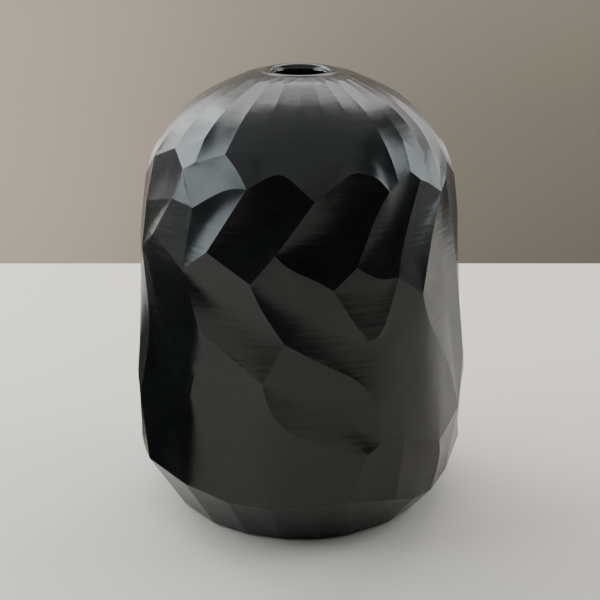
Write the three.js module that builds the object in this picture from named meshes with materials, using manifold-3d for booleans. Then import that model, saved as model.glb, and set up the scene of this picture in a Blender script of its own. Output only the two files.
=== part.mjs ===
// Closed black clay bottle-vase with a hand-cut faceted outside.
// Millimetres, +Z up, the base on z = 0 and the axis of the mouth on X = Y = 0.
// Four fired or coated bodies: the cut wall, the turned lip ring, the foot disc and the glossy lining.
import * as THREE from 'three';
import { mergeVertices } from 'three/addons/utils/BufferGeometryUtils.js';
import Module from 'manifold-3d';

// ---- driving dimensions (mm, degrees) -------------------------------------------------------
const HEIGHT = 290;            // table to the crest of the lip
const GAP = 0.3;               // clearance between touching pieces
const RIM_Z = 1.8;             // underside of the cut wall
const FOOT_RADIUS = 81;        // foot disc, set in under the bevel
const FOOT_SPIGOT = 60;        // raised middle of the foot disc
const FOOT_SPIGOT_TOP = 8;
const COLLAR_Z = 288.9;        // smooth collar where it meets the lip ring
const SEAT_RADIUS = 24.8;      // rebate that the lip ring sits in
const SEAT_Z = 283.4;
const NECK_RADIUS = 18.4;      // hole through the clay below the lip
const THROAT_RADIUS = 16.3;    // clear bore inside the lining
const LINING = 1.4;            // thickness of the glossy lining
const HOLLOW = 0.011;          // depth of the dish ground into a facet, as a share of its breadth
const FIELD_SINK = 1.6;        // how far the front field of the dome is eased back at its foot
const FIELD = [-30, 38];       // azimuths of the two arrises at the sides of the eased field
const FLUTE_FLAT = 0.992;      // share of the blank radius left in the middle of a flute
const DEEPEST_CUT = 3.5;       // how far below the blank a corner may be cut
const HOLD = 0.12;             // share by which a settling corner is held back to the blank
const HOLD_AT_DOME = 0.5;      // the same for corners on the edge of the dome
const SETTLE_PASSES = 60;
const ROUND_STEPS = 36;        // segments of every turned piece

// Thrown blank before cutting: radius against height, joined by a smooth curve.
const blankCurve = new THREE.SplineCurve([
  [85.5, RIM_Z], [99, 17], [107.5, 30], [111.6, 42], [112.6, 55], [111.6, 85], [109.6, 125],
  [108.4, 165], [105, 203], [99, 228], [90.6, 246], [78.6, 261], [63, 274], [36, 286.4],
].map(([r, z]) => new THREE.Vector2(r, z)));

// ---- arrises ---------------------------------------------------------------------------------
// The cutting repeats twice round the pot. Each corner of the arris network is given as
// [azimuth to the right of the front, height]; a name ending in + is the same corner half a turn on.
const CORNERS = {
  // lower ends of the meridian arrises of the dome
  b0: [-90, 222], b1: [-76, 239], b2: [-60, 249], b3: [-45, 258], b4: [-31, 252],
  e1: [-14, 240], e2: [-1, 238], e3: [13, 237], e4: [26, 242], g1: [38, 235],
  r1: [45, 240], r2: [53, 231], r3: [60, 223], r5: [75, 236],
  // other corners along the ragged lower edge of the dome
  c0: [-44, 245], o0: [-24, 245], o1: [-19, 235], o2: [-7, 246], v1: [5, 229],
  n1: [20, 245], n0: [30, 239], n2: [33, 231], g2: [49, 234], r4: [67, 229],
  // group of small facets on the left shoulder
  c1: [-49, 240], c2: [-49, 232], c3: [-51, 222], c4: [-45, 231], c5: [-40, 220],
  c6: [-27, 235], d1: [-73, 212], w1: [-60, 197], k1: [-42, 182], l1: [-32, 196],
  // broad facets across the front of the shoulder
  p1: [-1, 215], p2: [-8, 198], p3: [-16, 180], q1: [-4, 190], q2: [5, 183], q3: [11, 176],
  q4: [19, 189], q5: [23, 204], q6: [27, 218], s1: [27, 179], s2: [34, 180], s3: [36, 193],
  s4: [41, 212], t1: [52, 202], t2: [46, 177], t3: [44, 166],
  // slanting facets round the middle
  m0: [-13, 166], m1: [-5, 144], m2: [9, 128], m3: [25, 114], m4: [26, 134], m5: [18, 154],
  a1: [-38, 169], a2: [-36, 153], a3: [-33, 142], a4: [-22, 131], a5: [-12, 118],
  t4: [46, 149], t5: [54, 129], t6: [63, 108], t7: [67, 90], t8: [71, 73],
  u1: [78, 105], u2: [75, 170],
  // flanks
  x0: [-90, 176], x1: [-69, 184], x2: [-64, 160], x3: [-60, 139], x4: [-63, 118],
  x5: [-69, 84], x6: [-66, 67], y0: [-90, 120], y1: [-75, 128], z0: [-90, 86],
  i1: [-36, 128], i2: [-39, 87],
  // upper edge of the low facets
  h0: [-11, 108], h1: [-7, 91], h2: [2, 81], h3: [14, 73], h4: [22, 70], h5: [27, 76],
  h6: [36, 75], j0: [46, 68], j1: [53, 63], j2: [60, 67], j3: [57, 47],
  // bevel arris and rim
  k0: [-90, 36], k2: [-72, 40], k3: [-62, 43], k4: [-41, 40], k5: [-25, 34], k6: [-10, 34],
  k7: [3, 36], k8: [16, 38], k9: [36, 29], ka: [46, 23], kb: [57, 22], kc: [71, 26],
  f0: [-90, RIM_Z], f1: [-64, RIM_Z], f2: [-41, RIM_Z], f3: [-24, RIM_Z], f4: [-8, RIM_Z],
  f5: [8, RIM_Z], f6: [22, RIM_Z], f7: [43, RIM_Z], f8: [62, RIM_Z],
};

// Facets of the wall and the bevel, each the loop of corners round it.
const FACETS = [
  'b1 d1 c3 c2 c1 b2', 'b2 c1 c0 b3', 'b0 x0 x1 d1 b1', 'd1 x1 w1 c3',
  'c1 c2 c3 c5 c4', 'c0 c1 c4 c5 c6 o1 o0 b4', 'c5 k1 l1 o1 c6', 'c3 w1 k1 c5',
  'o1 l1 p3 p2 p1 v1 e2 o2 e1', 'v1 p1 p2 q1 q2 q3 q4 q5 q6 n2 n0 e4 n1 e3',
  'n2 q6 q5 q4 s1 s2 s3 s4 g2 r1 g1', 'g2 s4 s3 s2 t3 t2 t1 r3 r2',
  'q3 m5 m4 s2 s1 q4', 'p3 m0 m1 m2 m3 m4 m5 q3 q2 q1 p2',
  'k1 a1 a2 a3 a4 a5 m1 m0 p3 l1', 'a5 h0 h1 h2 h3 h4 h5 m3 m2 m1',
  's2 m4 m3 h5 h6 j0 t4 t3', 't4 j0 j1 t5', 't5 j1 j2 t8 t7 t6', 'r3 t1 t2 t3 t4 t5 t6 t7 t8 u1 u2 r4',
  'r4 u2 u1 z0+ y0+ x0+ b0+ r5', 't8 j2 j1 j3 kb kc',
  't8 kc k0+ z0+ u1',
  'x1 x2 x3 x4 x5 x6 k3 k4 i2 i1 a2 a1 k1 w1', 'x0 y0 y1 x3 x2 x1', 'y0 z0 x5 x4 x3 y1',
  'z0 k0 k2 k3 x6 x5', 'a2 i1 i2 k4 k5 k6 h1 h0 a5 a4 a3', 'h1 k6 k7 k8 h4 h3 h2',
  'h4 k8 k9 h6 h5', 'h6 k9 ka kb j3 j1 j0',
  'f0 f1 k3 k2 k0', 'f1 f2 k4 k3', 'f2 f3 k5 k4', 'f3 f4 k6 k5', 'f4 f5 k7 k6',
  'f5 f6 k8 k7', 'f6 f7 ka k9 k8', 'f7 f8 kb ka', 'f8 f0+ k0+ kc kb',
].map((loop) => loop.split(' '));

// Dome: flutes between meridian arrises. Each arris starts under the lip at the azimuth given
// and runs down to the corner named; the last entry lists corners between this end and the next.
const FLUTES = [
  [-90, 'b0', ''], [-75, 'b1', ''], [-60, 'b2', ''], [-45, 'b3', 'c0'], [-30, 'b4', 'o0 o1'],
  [-15, 'e1', 'o2'], [0, 'e2', 'v1'], [13, 'e3', 'n1'], [26, 'e4', 'n0 n2'], [38, 'g1', ''],
  [50, 'r1', 'g2'], [60, 'r2', ''], [68, 'r3', 'r4'], [78, 'r5', ''],
];
const DOME_EDGE = new Set(FLUTES.flatMap(([, end, between]) => [end, ...between.split(' ')]));
const RUNGS = [286.4, 281.4, 274.6, 266, 256.6, 246.4, 235];
const RUNG_CLEAR = 5;          // least height of a rung over the corners below it
const STRAIGHT_ABOVE = 262;    // arrises lean towards their lower ends only below this height
const SCALLOP = [31.6, 287.6]; // radius and height of the rounded top in the middle of a flute

// ---- helpers ---------------------------------------------------------------------------------
const wasm = await Module();
wasm.setup();

function blankRadius(z) {
  let low = 0;
  let high = 1;
  for (let i = 0; i < 40; i += 1) {
    const middle = (low + high) / 2;
    if (blankCurve.getPoint(middle).y < z) low = middle;
    else high = middle;
  }
  return blankCurve.getPoint(low).x;
}

function polar(azimuth, radius, z) {
  const angle = THREE.MathUtils.degToRad(azimuth);
  return new THREE.Vector3(radius * Math.sin(angle), -radius * Math.cos(angle), z);
}

function toManifold(geometry) {
  const bare = geometry.clone();
  bare.deleteAttribute('normal');
  bare.deleteAttribute('uv');
  const welded = mergeVertices(bare, 1e-4);
  return new wasm.Manifold(new wasm.Mesh({
    numProp: 3,
    vertProperties: new Float32Array(welded.attributes.position.array),
    triVerts: new Uint32Array(welded.index.array),
  }));
}

function toGeometry(solid) {
  const mesh = solid.getMesh();
  const geometry = new THREE.BufferGeometry();
  geometry.setAttribute('position', new THREE.BufferAttribute(mesh.vertProperties, 3));
  geometry.setIndex(new THREE.BufferAttribute(mesh.triVerts, 1));
  geometry.computeVertexNormals();
  return geometry;
}

function turned(profile) {
  return toManifold(new THREE.LatheGeometry(profile, ROUND_STEPS).rotateX(Math.PI / 2));
}

const points = (pairs) => pairs.map(([r, z]) => new THREE.Vector2(r, z));

// ---- the cut outside -------------------------------------------------------------------------
const corners = new Map();
for (const [name, [azimuth, z]] of Object.entries(CORNERS)) {
  corners.set(name, { azimuth, z, radius: blankRadius(z), facets: [] });
}

function cornerPoint(name) {
  const halfTurn = name.endsWith('+');
  const corner = corners.get(halfTurn ? name.slice(0, -1) : name);
  return polar(corner.azimuth + (halfTurn ? 180 : 0), corner.radius, corner.z);
}

// Plane of a loop, facing outward, through the centre of the area it encloses.
function loopPlane(loop) {
  const start = new THREE.Vector3();
  const normal = new THREE.Vector3();
  for (const point of loop) start.addScaledVector(point, 1 / loop.length);
  const slices = loop.map((point, i) => {
    const next = loop[(i + 1) % loop.length];
    const area = point.clone().sub(start).cross(next.clone().sub(start));
    normal.add(area);
    return { area, middle: point.clone().add(next).add(start).divideScalar(3) };
  });
  const size = normal.length();
  normal.normalize();
  const middle = new THREE.Vector3();
  for (const slice of slices) middle.addScaledVector(slice.middle, slice.area.dot(normal) / size);
  return { middle, normal, breadth: Math.sqrt(size / 2) };
}

// Middle of a facet: as far as it can be from every side, and sunk by the depth of the dish.
function heartOf(loop) {
  const { middle, normal, breadth } = loopPlane(loop);
  const sides = loop.map((point, i) => {
    const along = loop[(i + 1) % loop.length].clone().sub(point);
    return { point, inward: normal.clone().cross(along).normalize() };
  });
  const room = ({ point, inward }) => inward.dot(middle) - inward.dot(point);
  for (let step = 0.05 * breadth; step > 0.001 * breadth; step *= 0.9) {
    const nearest = sides.reduce((best, side) => (room(side) < room(best) ? side : best));
    middle.addScaledVector(nearest.inward, step);
  }
  return middle.addScaledVector(normal, -HOLLOW * breadth);
}

// The same, but kept on the full curve of the dome instead of dished.
function fullHeartOf(loop) {
  const heart = heartOf(loop);
  const below = loop.map((point) => Math.hypot(point.x, point.y) - blankRadius(point.z));
  const cut = below.reduce((sum, depth) => sum + depth, 0) / loop.length;
  const scale = (blankRadius(heart.z) * FLUTE_FLAT + cut) / Math.hypot(heart.x, heart.y);
  return new THREE.Vector3(heart.x * scale, heart.y * scale, heart.z);
}

// Slides the corners in or out along their radius until every facet is as flat as its
// neighbours allow, without adding clay to the blank.
function settleCorners() {
  for (let pass = 0; pass < SETTLE_PASSES; pass += 1) {
    const wanted = new Map();
    for (const facet of FACETS) {
      const { middle, normal } = loopPlane(facet.map(cornerPoint));
      for (const name of facet) {
        const halfTurn = name.endsWith('+');
        const key = halfTurn ? name.slice(0, -1) : name;
        const corner = corners.get(key);
        const ray = polar(corner.azimuth + (halfTurn ? 180 : 0), 1, 0);
        const radius = (normal.dot(middle) - normal.z * corner.z) / normal.dot(ray);
        wanted.set(key, [...(wanted.get(key) ?? []), radius]);
      }
    }
    for (const [key, radii] of wanted) {
      const corner = corners.get(key);
      if (corner.z > RIM_Z) {
        const blank = blankRadius(corner.z);
        const flat = radii.reduce((sum, radius) => sum + radius, 0) / radii.length;
        const hold = DOME_EDGE.has(key) ? HOLD_AT_DOME : HOLD;
        const settled = flat + (blank - flat) * hold;
        corner.radius = THREE.MathUtils.clamp(settled, blank - DEEPEST_CUT, blank);
      }
    }
  }
}

// Chain of points down one meridian arris, from under the lip to its lower corner.
function arrisChain(index) {
  const halfTurn = index === FLUTES.length;
  const [top, end] = FLUTES[index % FLUTES.length];
  const { azimuth, z } = corners.get(end);
  const inField = top > FIELD[0] && top < FIELD[1];
  const chain = RUNGS.filter((rung) => rung > z + RUNG_CLEAR).map((rung) => {
    const lean = Math.max(0, (STRAIGHT_ABOVE - rung) / (STRAIGHT_ABOVE - z));
    const radius = blankRadius(rung) - (inField ? FIELD_SINK * lean : 0);
    return polar(top + (azimuth - top) * lean + (halfTurn ? 180 : 0), radius, rung);
  });
  return [...chain, cornerPoint(halfTurn ? `${end}+` : end)];
}

function cutOutside() {
  const triangles = [];
  const fan = (heart, loop) => {
    loop.forEach((point, i) => triangles.push(heart, point, loop[(i + 1) % loop.length]));
  };
  for (const facet of FACETS) {
    const loop = facet.map(cornerPoint);
    fan(heartOf(loop), loop);
  }
  const collarFoot = [];
  FLUTES.forEach(([top, , between], index) => {
    const left = arrisChain(index);
    const right = arrisChain(index + 1);
    const nextTop = index + 1 < FLUTES.length ? FLUTES[index + 1][0] : 90;
    const lower = between.split(' ').filter(Boolean).map(cornerPoint);
    const peak = Math.max(left.at(-1).z, right.at(-1).z, ...lower.map((corner) => corner.z));
    const shared = RUNGS.filter((rung) => rung > peak + RUNG_CLEAR).length;
    const scallop = polar((top + nextTop) / 2, ...SCALLOP);
    triangles.push(left[0], right[0], scallop);
    for (let i = 0; i < shared - 1; i += 1) {
      triangles.push(left[i], left[i + 1], right[i + 1], left[i], right[i + 1], right[i]);
    }
    const foot = [...left.slice(shared - 1), ...lower, ...right.slice(shared - 1).reverse()];
    const inField = top >= FIELD[0] && top < FIELD[1];
    fan(inField ? fullHeartOf(foot) : heartOf(foot), foot);
    collarFoot.push(left[0], scallop);
  });
  const half = triangles.map((point) => new THREE.Vector3(-point.x, -point.y, point.z));
  const wall = [...triangles, ...half];
  const collar = [...collarFoot, ...collarFoot.map((p) => new THREE.Vector3(-p.x, -p.y, p.z))];
  const crown = collar.map((p) => {
    const scale = SEAT_RADIUS / Math.hypot(p.x, p.y);
    return new THREE.Vector3(p.x * scale, p.y * scale, COLLAR_Z);
  });
  const crownHeart = new THREE.Vector3(0, 0, COLLAR_Z);
  collar.forEach((point, i) => {
    const next = (i + 1) % collar.length;
    wall.push(point, collar[next], crown[next], point, crown[next], crown[i]);
    wall.push(crownHeart, crown[i], crown[next]);
  });
  const rimNames = ['f0', 'f1', 'f2', 'f3', 'f4', 'f5', 'f6', 'f7', 'f8'];
  const rimHalf = rimNames.map(cornerPoint);
  const rim = [...rimHalf, ...rimHalf.map((p) => new THREE.Vector3(-p.x, -p.y, p.z))];
  const rimHeart = new THREE.Vector3(0, 0, RIM_Z);
  rim.forEach((point, i) => wall.push(rimHeart, rim[(i + 1) % rim.length], point));
  return toManifold(new THREE.BufferGeometry().setFromPoints(wall));
}

// ---- turned pieces -----------------------------------------------------------------------------
// Hollow inside the clay, offset inward by `inset` for the two faces of the lining.
const CAVITY = [
  [62, 13], [77, 16.5], [90.5, 26], [99.5, 42], [101, 58], [100.2, 88], [98.6, 125], [97, 165],
  [93, 203], [86.5, 226], [78, 243], [64, 258], [44, 270.5], [24, 277],
];

function cavityProfile(inset) {
  const curve = new THREE.SplineCurve(points(CAVITY));
  const samples = [];
  for (let i = 0; i <= 11; i += 1) {
    const t = i / 11;
    const point = curve.getPoint(t);
    const along = curve.getTangent(t);
    samples.push(new THREE.Vector2(point.x - along.y * inset, point.y + along.x * inset));
  }
  return samples;
}

function facetedBody() {
  const cavity = cavityProfile(0);
  const hollow = turned([
    new THREE.Vector2(0, CAVITY[0][1]), ...cavity, ...points([
      [NECK_RADIUS, 278.6], [NECK_RADIUS, HEIGHT + 2], [0, HEIGHT + 2],
    ]),
  ]);
  const seat = turned(points([
    [0, SEAT_Z], [SEAT_RADIUS, SEAT_Z], [SEAT_RADIUS, HEIGHT + 2], [0, HEIGHT + 2],
  ]));
  const recess = turned(points([
    [0, 0], [FOOT_SPIGOT + GAP, 0], [FOOT_SPIGOT + GAP, FOOT_SPIGOT_TOP + GAP],
    [0, FOOT_SPIGOT_TOP + GAP],
  ]));
  return toGeometry(cutOutside().subtract(hollow).subtract(seat).subtract(recess));
}

// Smooth turned ring: rounded crest, then a shallow funnel down to the bore.
function lipRing() {
  return toGeometry(turned(points([
    [NECK_RADIUS, SEAT_Z + GAP], [SEAT_RADIUS - GAP, SEAT_Z + GAP], [SEAT_RADIUS - GAP, 288.9],
    [23.7, 289.6], [22.4, HEIGHT], [20.9, 289.9], [19.6, 289.3], [18.8, 288.5],
    [NECK_RADIUS, 287.6], [NECK_RADIUS, SEAT_Z + GAP],
  ])));
}

function footDisc() {
  return toGeometry(turned(points([
    [0, 0], [FOOT_RADIUS - 1, 0], [FOOT_RADIUS, 0.8], [FOOT_RADIUS, RIM_Z - GAP],
    [FOOT_SPIGOT, RIM_Z - GAP], [FOOT_SPIGOT, FOOT_SPIGOT_TOP], [0, FOOT_SPIGOT_TOP],
  ])));
}

// Thin coat all over the inside, ending in a rounded bead within the mouth.
function innerLining() {
  const outer = cavityProfile(GAP);
  const inner = cavityProfile(GAP + LINING);
  const floor = CAVITY[0][1] + GAP;
  return toGeometry(turned([
    new THREE.Vector2(0, floor), ...outer, ...points([
      [NECK_RADIUS - GAP, 278.3], [NECK_RADIUS - GAP, 286.8], [17.7, 287.7], [17, 287.8],
      [THROAT_RADIUS, 287], [THROAT_RADIUS, 276.8],
    ]), ...inner.reverse(), new THREE.Vector2(0, floor + LINING),
  ]));
}

// ---- assembly ----------------------------------------------------------------------------------
function piece(name, geometry, color, roughness) {
  const material = new THREE.MeshStandardMaterial({ color, roughness, metalness: 0 });
  const mesh = new THREE.Mesh(geometry, material);
  mesh.name = name;
  return mesh;
}

settleCorners();
const vase = new THREE.Group();
vase.name = 'faceted_black_vase';
vase.add(
  piece('faceted_body', facetedBody(), 0x1b1c1e, 0.34),
  piece('lip_ring', lipRing(), 0x232426, 0.3),
  piece('foot_disc', footDisc(), 0x1d1c1b, 0.6),
  piece('inner_lining', innerLining(), 0x08080a, 0.12),
);

export default vase;
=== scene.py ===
"""Looks for a hand-faceted black clay vase, laid out as a Blender add-on and run as a script."""

import math

import bmesh
import bpy
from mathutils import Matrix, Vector


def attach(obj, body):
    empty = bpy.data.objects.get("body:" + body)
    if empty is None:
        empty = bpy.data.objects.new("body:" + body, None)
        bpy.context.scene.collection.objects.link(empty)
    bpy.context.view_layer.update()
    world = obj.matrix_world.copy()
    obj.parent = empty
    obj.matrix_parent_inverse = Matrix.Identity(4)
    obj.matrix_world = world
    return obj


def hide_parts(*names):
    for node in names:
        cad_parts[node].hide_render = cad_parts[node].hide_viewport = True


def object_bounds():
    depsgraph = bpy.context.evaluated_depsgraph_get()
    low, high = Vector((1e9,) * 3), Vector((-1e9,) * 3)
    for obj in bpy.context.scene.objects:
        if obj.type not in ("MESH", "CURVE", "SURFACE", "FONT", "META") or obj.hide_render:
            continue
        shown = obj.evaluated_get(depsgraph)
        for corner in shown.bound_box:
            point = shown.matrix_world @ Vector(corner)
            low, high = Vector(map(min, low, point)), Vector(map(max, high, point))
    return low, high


bl_info = {
    "name": "Faceted Black Clay Vase",
    "version": (1, 0, 0),
    "blender": (4, 5, 0),
    "location": "3D View > Sidebar > Vase",
    "description": "Finishes a faceted clay vase: cut wall, lip, foot, glossy lining and a plain studio",
    "category": "Object",
}

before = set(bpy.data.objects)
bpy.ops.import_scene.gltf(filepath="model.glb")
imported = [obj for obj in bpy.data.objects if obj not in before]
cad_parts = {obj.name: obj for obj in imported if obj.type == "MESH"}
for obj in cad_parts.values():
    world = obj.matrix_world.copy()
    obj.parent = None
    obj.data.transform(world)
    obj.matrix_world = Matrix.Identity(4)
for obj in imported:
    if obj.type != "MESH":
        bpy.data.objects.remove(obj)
CAD_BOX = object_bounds()
MM = 0.001

WELD = 0.01 * MM         # points closer than this are one
FLAT = math.radians(1.4)  # triangles flatter than this are joined to quads
LEVEL = 0.02             # an edge that rises less than this share of its length is level
PLUMB = 0.994            # and one that rises more than this share is plumb
SLIP = 0.29 * MM         # layer of slip that fills the lip's seat

# The eased field of the dome: bearings of its sides, and heights of its foot, ragged edge and top.
FIELD_BEARINGS = (-24.0, 36.0)
FIELD_FOOT = 0.233
FIELD_RAGGED_TOP = 0.2445
FIELD_TOP = 0.272


# ---------------------------------------------------------------------------------------------
# Small helpers
# ---------------------------------------------------------------------------------------------
def linear(hex_colour):
    """Linear RGBA of an sRGB hex colour such as "1a1b1d"."""
    channels = [int(hex_colour[i:i + 2], 16) / 255 for i in (0, 2, 4)]
    return [c / 12.92 if c <= 0.04045 else ((c + 0.055) / 1.055) ** 2.4 for c in channels] + [1.0]


def add_node(tree, kind, inputs=None, **settings):
    """Adds a node, sets its properties and fills its inputs with values or with other nodes' outputs."""
    node = tree.nodes.new(kind)
    for name, value in settings.items():
        setattr(node, name, value)
    for key, value in (inputs or {}).items():
        if isinstance(value, bpy.types.NodeSocket):
            tree.links.new(value, node.inputs[key])
        else:
            node.inputs[key].default_value = value
    return node


def merged_copy(node_name):
    """A welded copy of a CAD node's mesh, with pairs of flat triangles joined to quads."""
    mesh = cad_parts[node_name].data.copy()
    mesh.materials.clear()
    bm = bmesh.new()
    bm.from_mesh(mesh)
    bmesh.ops.remove_doubles(bm, verts=bm.verts, dist=WELD)
    bmesh.ops.join_triangles(
        bm, faces=bm.faces, angle_face_threshold=FLAT, angle_shape_threshold=math.pi
    )
    bm.to_mesh(mesh)
    bm.free()
    for name in ("sharp_edge", "sharp_face", "custom_normal"):
        if name in mesh.attributes:
            mesh.attributes.remove(mesh.attributes[name])
    return mesh


def new_object(name, mesh):
    """An object at the origin in the scene's main collection."""
    obj = bpy.data.objects.new(name, mesh)
    bpy.context.scene.collection.objects.link(obj)
    return obj


def bake_modifiers(obj):
    """Turns the evaluated object into a plain mesh and removes its modifiers."""
    evaluated = obj.evaluated_get(bpy.context.evaluated_depsgraph_get())
    mesh = bpy.data.meshes.new_from_object(evaluated)
    obj.modifiers.clear()
    obj.data = mesh
    mesh.name = obj.name


def set_input(modifier, name, value):
    """Sets a Geometry Nodes modifier's input by the identifier of its socket."""
    for item in modifier.node_group.interface.items_tree:
        if item.item_type == "SOCKET" and item.in_out == "INPUT" and item.name == name:
            modifier[item.identifier] = value
            return
    raise RuntimeError(f"no input called {name}")


def finish_piece(obj, node_name):
    """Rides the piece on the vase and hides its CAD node."""
    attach(obj, "root")
    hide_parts(node_name)


# ---------------------------------------------------------------------------------------------
# Materials
# ---------------------------------------------------------------------------------------------
def new_material(name):
    material = bpy.data.materials.new(name)
    material.use_nodes = True
    material.node_tree.nodes.clear()
    return material, material.node_tree


def burnished_black_clay(settings):
    """Reduction-fired black clay, faceted when leather-hard and burnished with a stone.

    It reads as near-black with a satin sheen: soft-edged reflections, faint level rubbing marks, fine
    streaks that run up and down, and a slightly uneven tone where carbon settled thicker.
    """
    material, tree = new_material("burnished reduction-fired black clay")
    place = add_node(tree, "ShaderNodeTexCoord").outputs["Object"]
    # Cloudy carbon, about 35 mm across.
    cloud = add_node(tree, "ShaderNodeTexNoise", {
        "Vector": place, "Scale": 28.0, "Detail": 4.0, "Roughness": 0.55,
    })
    # Rubbing marks left across the facets by the pebble: 3 mm wide and about 40 mm long.
    level = add_node(tree, "ShaderNodeMapping", {"Vector": place, "Scale": (1.0, 1.0, 13.0)})
    rubs = add_node(tree, "ShaderNodeTexNoise", {
        "Vector": level.outputs["Vector"], "Scale": 25.0, "Detail": 2.0, "Roughness": 0.5,
    })
    smoke = add_node(tree, "ShaderNodeMath", {
        0: cloud.outputs["Fac"], 1: rubs.outputs["Fac"],
    }, operation="MULTIPLY")
    uneven = add_node(tree, "ShaderNodeMapRange", {
        "Value": smoke.outputs["Value"], "From Min": 0.12, "From Max": 0.40, "To Min": 0.0, "To Max": 1.0,
    })
    tone = add_node(tree, "ShaderNodeMix", {
        "Factor": uneven.outputs["Result"], 6: linear(settings.clay_dark), 7: linear(settings.clay_light),
    }, data_type="RGBA")
    # Burnishing streaks: 1 mm wide and 14 mm long, made coarser than the real 0.2 mm so they show.
    stretch = add_node(tree, "ShaderNodeMapping", {"Vector": place, "Scale": (1.0, 1.0, 0.08)})
    streaks = add_node(tree, "ShaderNodeTexNoise", {
        "Vector": stretch.outputs["Vector"], "Scale": 900.0, "Detail": 3.0, "Roughness": 0.6,
    })
    # Faint chatter of the cutting tool, about 4 mm apart.
    chatter = add_node(tree, "ShaderNodeTexNoise", {
        "Vector": place, "Scale": 240.0, "Detail": 2.0, "Roughness": 0.5,
    })
    polish = add_node(tree, "ShaderNodeMapRange", {
        "Value": cloud.outputs["Fac"], "From Min": 0.3, "From Max": 0.7,
        "To Min": settings.clay_roughness - 0.03, "To Max": settings.clay_roughness + 0.03,
    })
    fine = add_node(tree, "ShaderNodeBump", {
        "Height": streaks.outputs["Fac"], "Strength": 0.35, "Distance": 0.02 * MM,
    })
    coarse = add_node(tree, "ShaderNodeBump", {
        "Height": chatter.outputs["Fac"], "Strength": 0.5, "Distance": 0.08 * MM,
        "Normal": fine.outputs["Normal"],
    })
    rubbed = add_node(tree, "ShaderNodeBump", {
        "Height": rubs.outputs["Fac"], "Strength": 0.5, "Distance": 0.25 * MM,
        "Normal": coarse.outputs["Normal"],
    })
    shader = add_node(tree, "ShaderNodeBsdfPrincipled", {
        "Base Color": tone.outputs[2], "Roughness": polish.outputs["Result"], "IOR": 1.5,
        "Metallic": 0.0, "Normal": rubbed.outputs["Normal"],
    })
    add_node(tree, "ShaderNodeOutputMaterial", {"Surface": shader.outputs["BSDF"]})
    return material


def turned_black_clay(settings):
    """The same black clay, smoothed on the wheel with a wet rib: rings 3 mm apart, no streaks."""
    material, tree = new_material("wheel-smoothed black clay")
    place = add_node(tree, "ShaderNodeTexCoord").outputs["Object"]
    rings = add_node(tree, "ShaderNodeTexWave", {
        "Vector": place, "Scale": 105.0, "Distortion": 0.6, "Detail": 2.0,
    }, wave_type="RINGS", rings_direction="Z")
    relief = add_node(tree, "ShaderNodeBump", {
        "Height": rings.outputs["Fac"], "Strength": 0.2, "Distance": 0.03 * MM,
    })
    grain = add_node(tree, "ShaderNodeTexNoise", {"Vector": place, "Scale": 60.0, "Detail": 4.0})
    tone = add_node(tree, "ShaderNodeMix", {
        "Factor": grain.outputs["Fac"], 6: linear(settings.clay_dark), 7: linear(settings.clay_light),
    }, data_type="RGBA")
    shader = add_node(tree, "ShaderNodeBsdfPrincipled", {
        "Base Color": tone.outputs[2], "Roughness": settings.lip_roughness, "IOR": 1.5,
        "Normal": relief.outputs["Normal"],
    })
    add_node(tree, "ShaderNodeOutputMaterial", {"Surface": shader.outputs["BSDF"]})
    return material


def bare_black_clay(settings):
    """Unburnished black clay as it left the kiln: matt and slightly gritty, 0.8 mm grog."""
    material, tree = new_material("bare black clay")
    place = add_node(tree, "ShaderNodeTexCoord").outputs["Object"]
    grog = add_node(tree, "ShaderNodeTexNoise", {"Vector": place, "Scale": 1200.0, "Detail": 2.0})
    tone = add_node(tree, "ShaderNodeMix", {
        "Factor": grog.outputs["Fac"], 6: linear(settings.clay_dark), 7: linear(settings.foot_colour),
    }, data_type="RGBA")
    relief = add_node(tree, "ShaderNodeBump", {
        "Height": grog.outputs["Fac"], "Strength": 0.5, "Distance": 0.1 * MM,
    })
    shader = add_node(tree, "ShaderNodeBsdfPrincipled", {
        "Base Color": tone.outputs[2], "Roughness": 0.62, "IOR": 1.45,
        "Normal": relief.outputs["Normal"],
    })
    add_node(tree, "ShaderNodeOutputMaterial", {"Surface": shader.outputs["BSDF"]})
    return material


def glossy_lining(settings):
    """Brushed-on sealing coat, glossy black: sharp small highlights with a little brush ripple."""
    material, tree = new_material("glossy black sealing coat")
    place = add_node(tree, "ShaderNodeTexCoord").outputs["Object"]
    ripple = add_node(tree, "ShaderNodeTexNoise", {"Vector": place, "Scale": 130.0, "Detail": 1.0})
    relief = add_node(tree, "ShaderNodeBump", {
        "Height": ripple.outputs["Fac"], "Strength": 0.5, "Distance": 0.3 * MM,
    })
    shader = add_node(tree, "ShaderNodeBsdfPrincipled", {
        "Base Color": linear(settings.lining_colour), "Roughness": 0.07, "IOR": 1.52,
        "Normal": relief.outputs["Normal"],
    })
    add_node(tree, "ShaderNodeOutputMaterial", {"Surface": shader.outputs["BSDF"]})
    return material


# ---------------------------------------------------------------------------------------------
# Geometry Nodes
# ---------------------------------------------------------------------------------------------
def add_inputs(tree, sockets):
    """Gives a tree its geometry sockets and the named inputs, and returns the inputs' outputs."""
    tree.interface.new_socket("Geometry", in_out="INPUT", socket_type="NodeSocketGeometry")
    for name, kind, value in sockets:
        socket = tree.interface.new_socket(name, in_out="INPUT", socket_type=kind)
        if value is not None:
            socket.default_value = value
    tree.interface.new_socket("Geometry", in_out="OUTPUT", socket_type="NodeSocketGeometry")
    return add_node(tree, "NodeGroupInput").outputs


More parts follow.
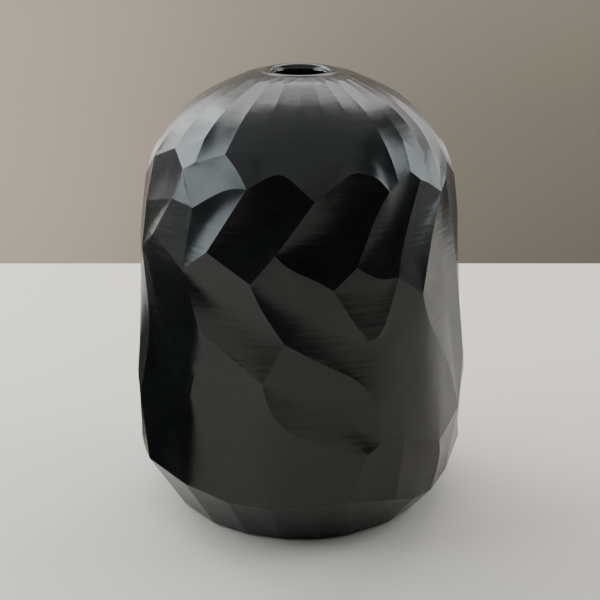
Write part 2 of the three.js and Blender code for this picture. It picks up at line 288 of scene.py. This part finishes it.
def facet_finisher():
    """Rounds the CAD facets into hand-ground ones.

    Edges that are neither level nor plumb, and whose two ends both stand proud, are arrises: they
    stay crisp and become smooth curves. Level and plumb edges only shape the surface inside one
    facet, and the middle of each facet relaxes like a film between its arrises. In the eased field
    at the front and back of the dome, only the strong arrises along its ragged foot stay crisp.
    """
    tree = bpy.data.node_groups.new("facet finisher", "GeometryNodeTree")
    given = add_inputs(tree, (
        ("Levels", "NodeSocketInt", 3),
        ("Arris Angle", "NodeSocketFloat", math.radians(2.5)),
        ("Strong Angle", "NodeSocketFloat", math.radians(24.0)),
        ("Foot Angle", "NodeSocketFloat", math.radians(20.0)),
        ("Rim Angle", "NodeSocketFloat", math.radians(44.0)),
        ("Relax Steps", "NodeSocketInt", 20),
        ("Ripple Height", "NodeSocketFloat", 0.1 * MM),
        ("Ripple Size", "NodeSocketFloat", 22 * MM),
        ("Material", "NodeSocketMaterial", None),
    ))

    def compare(operation, a, b):
        return add_node(tree, "FunctionNodeCompare", {0: a, 1: b}, operation=operation).outputs[0]

    def both(a, b):
        return add_node(tree, "FunctionNodeBooleanMath", {0: a, 1: b}, operation="AND").outputs[0]

    def either(a, b):
        return add_node(tree, "FunctionNodeBooleanMath", {0: a, 1: b}, operation="OR").outputs[0]

    def opposite(a):
        return add_node(tree, "FunctionNodeBooleanMath", {0: a}, operation="NOT").outputs[0]

    angle = add_node(tree, "GeometryNodeInputMeshEdgeAngle").outputs
    ends = add_node(tree, "GeometryNodeInputMeshEdgeVertices").outputs
    along = add_node(tree, "ShaderNodeVectorMath", {
        0: ends["Position 2"], 1: ends["Position 1"],
    }, operation="SUBTRACT").outputs[0]
    along = add_node(tree, "ShaderNodeVectorMath", {0: along}, operation="NORMALIZE").outputs[0]
    rise = add_node(tree, "ShaderNodeSeparateXYZ", {0: along}).outputs[2]
    rise = add_node(tree, "ShaderNodeMath", {0: rise}, operation="ABSOLUTE").outputs[0]
    slanting = both(compare("GREATER_THAN", rise, LEVEL), compare("LESS_THAN", rise, PLUMB))
    proud = add_node(tree, "GeometryNodeFieldOnDomain", {
        0: angle["Signed Angle"],
    }, domain="POINT", data_type="FLOAT").outputs[0]
    proud_ends = [
        compare("GREATER_THAN", add_node(tree, "GeometryNodeFieldAtIndex", {
            "Value": proud, "Index": ends[name],
        }, domain="POINT", data_type="FLOAT").outputs[0], 0.0)
        for name in ("Vertex Index 1", "Vertex Index 2")
    ]
    cut = both(compare("GREATER_THAN", angle["Signed Angle"], given["Arris Angle"]), slanting)
    cut = both(cut, both(*proud_ends))
    strong = both(
        compare("GREATER_THAN", angle["Signed Angle"], given["Strong Angle"]),
        compare("LESS_THAN", rise, PLUMB),
    )

    # The eased field, by the bearing of an edge's middle (the same half a turn on) and its height.
    middle = add_node(tree, "ShaderNodeVectorMath", {
        0: ends["Position 1"], 1: ends["Position 2"],
    }, operation="ADD").outputs[0]
    middle = add_node(tree, "ShaderNodeVectorMath", {
        0: middle, "Scale": 0.5,
    }, operation="SCALE").outputs[0]
    middle = add_node(tree, "ShaderNodeSeparateXYZ", {0: middle}).outputs
    back = add_node(tree, "ShaderNodeMath", {0: middle[1], 1: -1.0}, operation="MULTIPLY").outputs[0]
    bearing = add_node(tree, "ShaderNodeMath", {0: middle[0], 1: back}, operation="DIVIDE").outputs[0]
    in_field = both(
        both(
            compare("GREATER_THAN", bearing, math.tan(math.radians(FIELD_BEARINGS[0]))),
            compare("LESS_THAN", bearing, math.tan(math.radians(FIELD_BEARINGS[1]))),
        ),
        both(
            compare("GREATER_THAN", middle[2], FIELD_FOOT), compare("LESS_THAN", middle[2], FIELD_TOP),
        ),
    )
    foot_arris = both(
        compare("LESS_THAN", middle[2], FIELD_RAGGED_TOP),
        compare("GREATER_THAN", angle["Signed Angle"], given["Foot Angle"]),
    )
    eased = both(in_field, opposite(foot_arris))
    crisp = both(either(cut, strong), opposite(eased))
    arris = either(crisp, compare("GREATER_THAN", angle["Unsigned Angle"], given["Rim Angle"]))
    marked = add_node(tree, "GeometryNodeStoreNamedAttribute", {
        "Geometry": given["Geometry"], "Name": "arris", "Value": arris,
    }, data_type="BOOLEAN", domain="EDGE").outputs[0]

    is_arris = add_node(tree, "GeometryNodeInputNamedAttribute", {
        "Name": "arris",
    }, data_type="BOOLEAN").outputs[0]
    fine = add_node(tree, "GeometryNodeSubdivisionSurface", {
        "Mesh": marked, "Level": given["Levels"], "Edge Crease": is_arris,
    }).outputs[0]
    on_arris = add_node(tree, "GeometryNodeFieldOnDomain", {
        0: is_arris,
    }, domain="POINT", data_type="BOOLEAN").outputs[0]

    # Only the outside relaxes; the turned inside keeps its radius.
    place = add_node(tree, "GeometryNodeInputPosition").outputs[0]
    normal = add_node(tree, "GeometryNodeInputNormal").outputs[0]
    from_axis = add_node(tree, "ShaderNodeVectorMath", {
        0: place, 1: (1.0, 1.0, 0.0),
    }, operation="MULTIPLY").outputs[0]
    facing_out = add_node(tree, "ShaderNodeVectorMath", {
        0: from_axis, 1: normal,
    }, operation="DOT_PRODUCT").outputs["Value"]
    free = both(compare("GREATER_THAN", facing_out, 0.0), opposite(on_arris))
    free = add_node(tree, "GeometryNodeFieldOnDomain", {
        0: free,
    }, domain="POINT", data_type="FLOAT").outputs[0]
    relaxed = add_node(tree, "GeometryNodeBlurAttribute", {
        "Value": place, "Iterations": given["Relax Steps"], "Weight": free,
    }, data_type="FLOAT_VECTOR").outputs[0]
    film = add_node(tree, "GeometryNodeSetPosition", {"Geometry": fine, "Position": relaxed}).outputs[0]

    # Slow ripple left by the hand-held cutting tool, faded out at the arrises.
    scale = add_node(tree, "ShaderNodeMath", {0: 1.0, 1: given["Ripple Size"]}, operation="DIVIDE").outputs[0]
    ripple = add_node(tree, "ShaderNodeTexNoise", {"Vector": place, "Scale": scale, "Detail": 1.0}).outputs[0]
    ripple = add_node(tree, "ShaderNodeMath", {0: ripple, 1: 0.5}, operation="SUBTRACT").outputs[0]
    ripple = add_node(tree, "ShaderNodeMath", {
        0: ripple, 1: given["Ripple Height"],
    }, operation="MULTIPLY").outputs[0]
    fade = add_node(tree, "GeometryNodeBlurAttribute", {
        "Value": free, "Iterations": 3, "Weight": free,
    }, data_type="FLOAT").outputs[0]
    ripple = add_node(tree, "ShaderNodeMath", {0: ripple, 1: fade}, operation="MULTIPLY").outputs[0]
    push = add_node(tree, "ShaderNodeVectorMath", {0: normal, "Scale": ripple}, operation="SCALE").outputs[0]
    rippled = add_node(tree, "GeometryNodeSetPosition", {"Geometry": film, "Offset": push}).outputs[0]

    softened = add_node(tree, "GeometryNodeStoreNamedAttribute", {
        "Geometry": rippled, "Name": "bevel_weight_edge", "Value": is_arris,
    }, data_type="FLOAT", domain="EDGE").outputs[0]
    smooth = add_node(tree, "GeometryNodeSetShadeSmooth", {"Geometry": softened}).outputs[0]
    whole = add_node(tree, "GeometryNodeRealizeInstances", {"Geometry": smooth}).outputs[0]
    painted = add_node(tree, "GeometryNodeSetMaterial", {
        "Geometry": whole, "Material": given["Material"],
    }).outputs[0]
    add_node(tree, "NodeGroupOutput", {"Geometry": painted})
    return tree


def rounder():
    """Subdivides a turned piece into true curves, keeping its machined corners."""
    tree = bpy.data.node_groups.new("turned piece rounder", "GeometryNodeTree")
    given = add_inputs(tree, (
        ("Levels", "NodeSocketInt", 2), ("Corner Angle", "NodeSocketFloat", 0.9),
        ("Material", "NodeSocketMaterial", None),
    ))
    angle = add_node(tree, "GeometryNodeInputMeshEdgeAngle").outputs["Unsigned Angle"]
    corner = add_node(tree, "FunctionNodeCompare", {
        0: angle, 1: given["Corner Angle"],
    }, operation="GREATER_THAN").outputs[0]
    marked = add_node(tree, "GeometryNodeStoreNamedAttribute", {
        "Geometry": given["Geometry"], "Name": "corner", "Value": corner,
    }, data_type="BOOLEAN", domain="EDGE").outputs[0]
    is_corner = add_node(tree, "GeometryNodeInputNamedAttribute", {
        "Name": "corner",
    }, data_type="BOOLEAN").outputs[0]
    fine = add_node(tree, "GeometryNodeSubdivisionSurface", {
        "Mesh": marked, "Level": given["Levels"], "Edge Crease": is_corner,
    }).outputs[0]
    softened = add_node(tree, "GeometryNodeStoreNamedAttribute", {
        "Geometry": fine, "Name": "bevel_weight_edge", "Value": is_corner,
    }, data_type="FLOAT", domain="EDGE").outputs[0]
    smooth = add_node(tree, "GeometryNodeSetShadeSmooth", {"Geometry": softened}).outputs[0]
    whole = add_node(tree, "GeometryNodeRealizeInstances", {"Geometry": smooth}).outputs[0]
    painted = add_node(tree, "GeometryNodeSetMaterial", {
        "Geometry": whole, "Material": given["Material"],
    }).outputs[0]
    add_node(tree, "NodeGroupOutput", {"Geometry": painted})
    return tree


def soften_edges(obj, width, segments):
    """Bevels the marked edges, with the faces beside them left flat in shading."""
    bevel = obj.modifiers.new("softened edges", "BEVEL")
    bevel.limit_method = "WEIGHT"
    bevel.width = width
    bevel.segments = segments
    bevel.harden_normals = True


def finish_turned(name, node_name, material, levels, width, slip=0.0):
    """Makes one turned piece from its CAD node, with a layer of slip round its outer wall."""
    mesh = merged_copy(node_name)
    outer = max(vertex.co.xy.length for vertex in mesh.vertices)
    for vertex in mesh.vertices:
        if slip and vertex.co.xy.length > outer - 0.1 * MM:
            vertex.co.xy *= 1.0 + slip / outer
    obj = new_object(name, mesh)
    modifier = obj.modifiers.new("rounder", "NODES")
    modifier.node_group = bpy.data.node_groups.get("turned piece rounder") or rounder()
    set_input(modifier, "Levels", levels)
    set_input(modifier, "Material", material)
    if width:
        soften_edges(obj, width, 2)
    bake_modifiers(obj)
    finish_piece(obj, node_name)
    return obj


# ---------------------------------------------------------------------------------------------
# Settings
# ---------------------------------------------------------------------------------------------
class VaseClaySettings(bpy.types.PropertyGroup):
    """Colours and finish of the clay."""

    clay_dark: bpy.props.StringProperty(
        name="Dark clay", description="Darkest tone, sRGB hex", default="020304",
    )
    clay_light: bpy.props.StringProperty(
        name="Light clay", description="Lightest tone, sRGB hex", default="0b0d0e",
    )
    foot_colour: bpy.props.StringProperty(
        name="Foot", description="Lighter tone of the bare foot, sRGB hex", default="262524",
    )
    lining_colour: bpy.props.StringProperty(
        name="Lining", description="Sealing coat, sRGB hex", default="060607",
    )
    clay_roughness: bpy.props.FloatProperty(
        name="Burnish roughness", description="Roughness of the burnished facets", default=0.27,
        min=0.05, max=1.0, subtype="FACTOR",
    )
    lip_roughness: bpy.props.FloatProperty(
        name="Lip roughness", description="Roughness of the turned lip", default=0.25, min=0.05, max=1.0,
        subtype="FACTOR",
    )
    arris_width: bpy.props.FloatProperty(
        name="Arris softening", description="Width of the rub along each arris", default=0.45 * MM,
        min=0.0, unit="LENGTH", precision=5,
    )
    relax_steps: bpy.props.IntProperty(
        name="Facet relaxing", description="How far each facet relaxes between its arrises", default=14,
        min=0,
    )
    ripple_height: bpy.props.FloatProperty(
        name="Cutting ripple", description="Height of the slow ripple on each facet", default=0.45 * MM,
        min=0.0, unit="LENGTH", precision=5,
    )


class VaseStageSettings(bpy.types.PropertyGroup):
    """Camera, floor and backdrop."""

    camera_back: bpy.props.FloatProperty(
        name="Camera distance", description="Ahead of the vase", default=0.9, unit="LENGTH",
    )
    camera_height: bpy.props.FloatProperty(
        name="Camera height", description="Above the floor", default=0.449, unit="LENGTH",
    )
    camera_pitch: bpy.props.FloatProperty(
        name="Camera tilt", description="Downward tilt", default=math.radians(19.25), subtype="ANGLE",
    )
    camera_lens: bpy.props.FloatProperty(
        name="Lens", description="Focal length", default=85.4, subtype="DISTANCE_CAMERA",
    )
    backdrop_distance: bpy.props.FloatProperty(
        name="Backdrop distance", description="Behind the vase", default=1.3, min=1.2, unit="LENGTH",
    )
    floor_behind: bpy.props.FloatProperty(
        name="Floor behind", description="From the vase to the back edge of the floor", default=0.5,
        unit="LENGTH",
    )
    floor_colour: bpy.props.StringProperty(
        name="Floor", description="Plain pale floor, sRGB hex", default="e4dcd1",
    )
    wall_colour: bpy.props.StringProperty(
        name="Backdrop", description="Plain backdrop, sRGB hex", default="a09282",
    )


# ---------------------------------------------------------------------------------------------
# Operators
# ---------------------------------------------------------------------------------------------
class VASE_OT_faceted_body(bpy.types.Operator):
    """Grinds the wall: crisp curved arrises round softly hollow burnished facets"""

    bl_idname = "vase.faceted_body"
    bl_label = "Faceted Body"

    def execute(self, context):
        settings = context.scene.vase_clay
        obj = new_object("cut_clay_wall", merged_copy("faceted_body"))
        modifier = obj.modifiers.new("facets", "NODES")
        modifier.node_group = facet_finisher()
        set_input(modifier, "Relax Steps", settings.relax_steps)
        set_input(modifier, "Ripple Height", settings.ripple_height)
        set_input(modifier, "Material", burnished_black_clay(settings))
        soften_edges(obj, settings.arris_width, 1)
        bake_modifiers(obj)
        finish_piece(obj, "faceted_body")
        return {"FINISHED"}


class VASE_OT_lip_ring(bpy.types.Operator):
    """Turns the smooth ring round the mouth"""

    bl_idname = "vase.lip_ring"
    bl_label = "Lip Ring"

    def execute(self, context):
        material = turned_black_clay(context.scene.vase_clay)
        finish_turned("turned_lip", "lip_ring", material, 2, 0.15 * MM, slip=SLIP)
        return {"FINISHED"}


class VASE_OT_foot_disc(bpy.types.Operator):
    """Makes the bare slab the vase stands on"""

    bl_idname = "vase.foot_disc"
    bl_label = "Foot Disc"

    def execute(self, context):
        material = bare_black_clay(context.scene.vase_clay)
        finish_turned("bare_foot", "foot_disc", material, 2, 0.25 * MM)
        return {"FINISHED"}


class VASE_OT_inner_lining(bpy.types.Operator):
    """Coats the inside and the throat"""

    bl_idname = "vase.inner_lining"
    bl_label = "Inner Lining"

    def execute(self, context):
        material = glossy_lining(context.scene.vase_clay)
        finish_turned("sealing_coat", "inner_lining", material, 2, 0.0)
        return {"FINISHED"}


# ---------------------------------------------------------------------------------------------
# Stage
# ---------------------------------------------------------------------------------------------
STAGE_REACH = 8          # how far the floor and backdrop run to the sides
WALL_FOOT = -1           # the backdrop starts below the floor, as a wall behind a table does
WALL_TOP = 2.5
CARD_TOP = 0.13
# Soft lights: name, place, the point it faces, width and height, watts, colour.
ROOM_LIGHTS = (
    ("ceiling", (0.0, -0.6, 1.7), (0.0, -0.6, 0.0), (2.2, 3.0), 13.4, (0.95, 0.98, 1.0)),
    ("overhead light", (-0.15, 0.9, 1.35), (0, 0, 0.2), (2.0, 0.6), 18, (1.0, 1.0, 1.0)),
    ("left window", (-1.25, -0.05, 0.75), (0, -0.05, 0.45), (1.1, 0.9), 16, (0.84, 0.96, 1.0)),
    ("right window", (1.25, 0.3, 0.7), (0, 0.1, 0.4), (0.9, 0.95), 12, (0.88, 0.98, 1.0)),
    ("left sky", (-1.1, 0.75, 1.05), (0, 0, 0.2), (0.9, 0.8), 12, (0.86, 0.97, 1.0)),
)


def plain_matt(name, hex_colour):
    """Matt painted board, without sheen, for the floor and backdrop."""
    material, tree = new_material(name)
    shader = add_node(tree, "ShaderNodeBsdfPrincipled", {"Base Color": linear(hex_colour), "Roughness": 0.8})
    add_node(tree, "ShaderNodeOutputMaterial", {"Surface": shader.outputs["BSDF"]})
    return material


def stage_board(name, corners, material):
    """A flat four-cornered board for the floor, the backdrop or the card."""
    mesh = bpy.data.meshes.new(name)
    mesh.from_pydata([Vector(c) for c in corners], [], [(0, 1, 2, 3)])
    mesh.materials.append(material)
    board = new_object(name, mesh)
    return board


def softbox(name, at, aim, size, power, colour=(1.0, 1.0, 1.0)):
    """A rectangular soft light at a point, turned towards another."""
    light = bpy.data.lights.new(name, "AREA")
    light.shape = "RECTANGLE"
    light.size, light.size_y = size
    light.energy = power
    light.color = colour
    obj = new_object(name, light)
    obj.location = at
    obj.rotation_euler = (Vector(aim) - Vector(at)).to_track_quat("-Z", "Y").to_euler()
    obj.visible_camera = False
    return obj


class VASE_OT_stage(bpy.types.Operator):
    """Sets the floor, backdrop, soft lights and camera"""

    bl_idname = "vase.stage"
    bl_label = "Stage"

    def execute(self, context):
        settings = context.scene.vase_stage
        floor = plain_matt("pale floor", settings.floor_colour)
        wall = plain_matt("backdrop", settings.wall_colour)
        z = CAD_BOX[0][2]
        back = settings.backdrop_distance
        edge = settings.floor_behind
        far = STAGE_REACH
        stage_board("floor", [(-far, -far, z), (far, -far, z), (far, edge, z), (-far, edge, z)], floor)
        stage_board("backdrop", [
            (-far, back, WALL_FOOT), (far, back, WALL_FOOT), (far, back, WALL_TOP), (-far, back, WALL_TOP),
        ], wall)

        # A black card low on the left keeps the tall left facet dark, as a dim corner of a room would.
        card = stage_board("black card", [
            (-0.14, -0.14, z + MM), (-0.13, 0.2, z + MM), (-0.30, 0.25, CARD_TOP), (-0.32, -0.12, CARD_TOP),
        ], plain_matt("black card", "020202"))
        card.visible_camera = card.visible_diffuse = card.visible_shadow = False

        for name, at, aim, size, power, colour in ROOM_LIGHTS:
            softbox(name, at, aim, size, power, colour)
        # Two panels that stand just ahead of the backdrop, and a light that faces it.
        for name, x, power in (("left wall light", -0.95, 7), ("right wall light", 0.95, 5)):
            softbox(name, (x, back - 0.05, 0.55), (x, 0, 0.55), (0.85, 1.0), power)
        softbox("backdrop wash", (-0.6, back - 0.45, -0.1), (-0.6, back, 0.0), (0.7, 0.8), 4)

        world = bpy.data.worlds.new("studio air")
        world.use_nodes = True
        background = world.node_tree.nodes["Background"]
        background.inputs["Color"].default_value = (0.9, 0.95, 1.0, 1.0)
        background.inputs["Strength"].default_value = 0.03
        context.scene.world = world

        camera = bpy.data.cameras.new("camera")
        camera.lens = settings.camera_lens
        camera.sensor_width = 36.0
        camera.clip_start = 0.01
        eye = new_object("camera", camera)
        eye.location = (0.0, -settings.camera_back, settings.camera_height)
        eye.rotation_euler = (math.pi / 2 - settings.camera_pitch, 0.0, 0.0)
        context.scene.camera = eye
        return {"FINISHED"}


class VASE_PT_panel(bpy.types.Panel):
    """Lists the steps in the sidebar"""

    bl_label = "Faceted Clay Vase"
    bl_idname = "VASE_PT_panel"
    bl_space_type = "VIEW_3D"
    bl_region_type = "UI"
    bl_category = "Vase"

    def draw(self, context):
        clay, stage = context.scene.vase_clay, context.scene.vase_stage
        for group in (clay, stage):
            for name in group.__annotations__:
                self.layout.prop(group, name)
        for operator in OPERATORS:
            self.layout.operator(operator.bl_idname)


OPERATORS = (
    VASE_OT_faceted_body, VASE_OT_lip_ring, VASE_OT_foot_disc, VASE_OT_inner_lining, VASE_OT_stage,
)
CLASSES = (VaseClaySettings, VaseStageSettings, *OPERATORS, VASE_PT_panel)


def register():
    for cls in CLASSES:
        bpy.utils.register_class(cls)
    bpy.types.Scene.vase_clay = bpy.props.PointerProperty(type=VaseClaySettings)
    bpy.types.Scene.vase_stage = bpy.props.PointerProperty(type=VaseStageSettings)


def unregister():
    del bpy.types.Scene.vase_stage
    del bpy.types.Scene.vase_clay
    for cls in reversed(CLASSES):
        bpy.utils.unregister_class(cls)


def main():
    register()
    bpy.ops.vase.faceted_body()
    bpy.ops.vase.lip_ring()
    bpy.ops.vase.foot_disc()
    bpy.ops.vase.inner_lining()
    bpy.ops.vase.stage()


if __name__ == "__main__":
    main()
